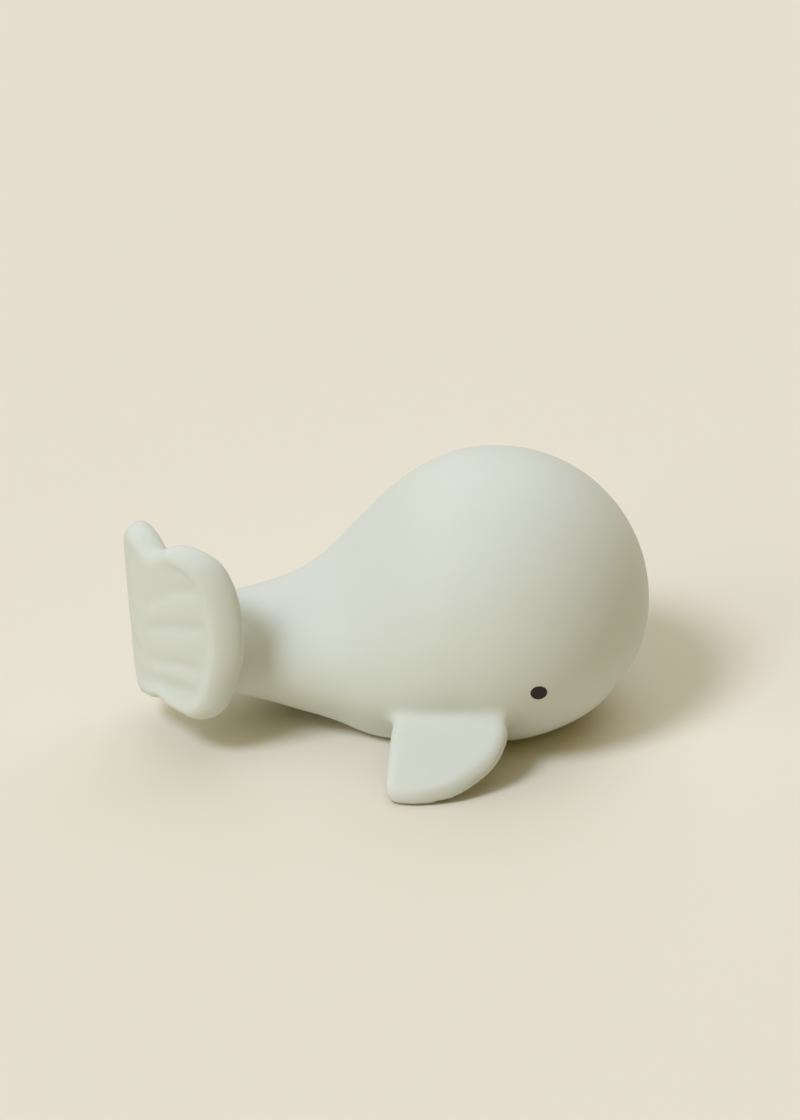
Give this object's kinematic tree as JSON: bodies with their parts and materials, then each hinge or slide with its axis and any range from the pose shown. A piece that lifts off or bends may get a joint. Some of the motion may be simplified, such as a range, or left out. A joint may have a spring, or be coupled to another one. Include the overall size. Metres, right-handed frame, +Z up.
{
  "type": "squeaky bath toy",
  "caption": "Hollow soft rubber whale for the bath with ribbed flukes, flippers, printed eyes and a reed squeaker in its flat belly.",
  "frame": {"origin": "on the flat belly that the whale rests on, straight under the middle of its round head", "axes": "+X towards the snout, +Y to the whale's left, +Z up"},
  "size_m": [0.1168, 0.097, 0.0618],
  "materials": {
    "rubber_skin": "matte, powdery",
    "eye_print": "matte print",
    "squeaker_plastic": "satin",
    "reed_bar_plastic": "satin",
    "reed_film": "smooth film"
  },
  "bodies": {
    "squeaker": {"squeaker_housing": "squeaker_plastic", "squeaker_cap": "squeaker_plastic", "reed_base": "reed_bar_plastic", "reed_clamp": "reed_bar_plastic"},
    "whale": {"body_shell": "rubber_skin", "eye_left": "eye_print", "eye_right": "eye_print"},
    "reed_tongue": {"reed": "reed_film"}
  },
  "joints": [
    {"name": "squeeze", "type": "slide", "parent": "squeaker", "child": "whale", "axis": [0, 0, -1], "range_m": [0, 0.008], "stiffness_N_per_m": 1800, "deforming": ["body_shell"]},
    {"name": "reed_flex", "type": "hinge", "parent": "squeaker", "child": "reed_tongue", "pos_m": [-0.01487, 0, 0.0094], "axis": [0, -1, 0], "range_deg": [-3, 6], "stiffness_Nm_per_rad": 0.002, "deforming": ["reed"]}
  ]
}
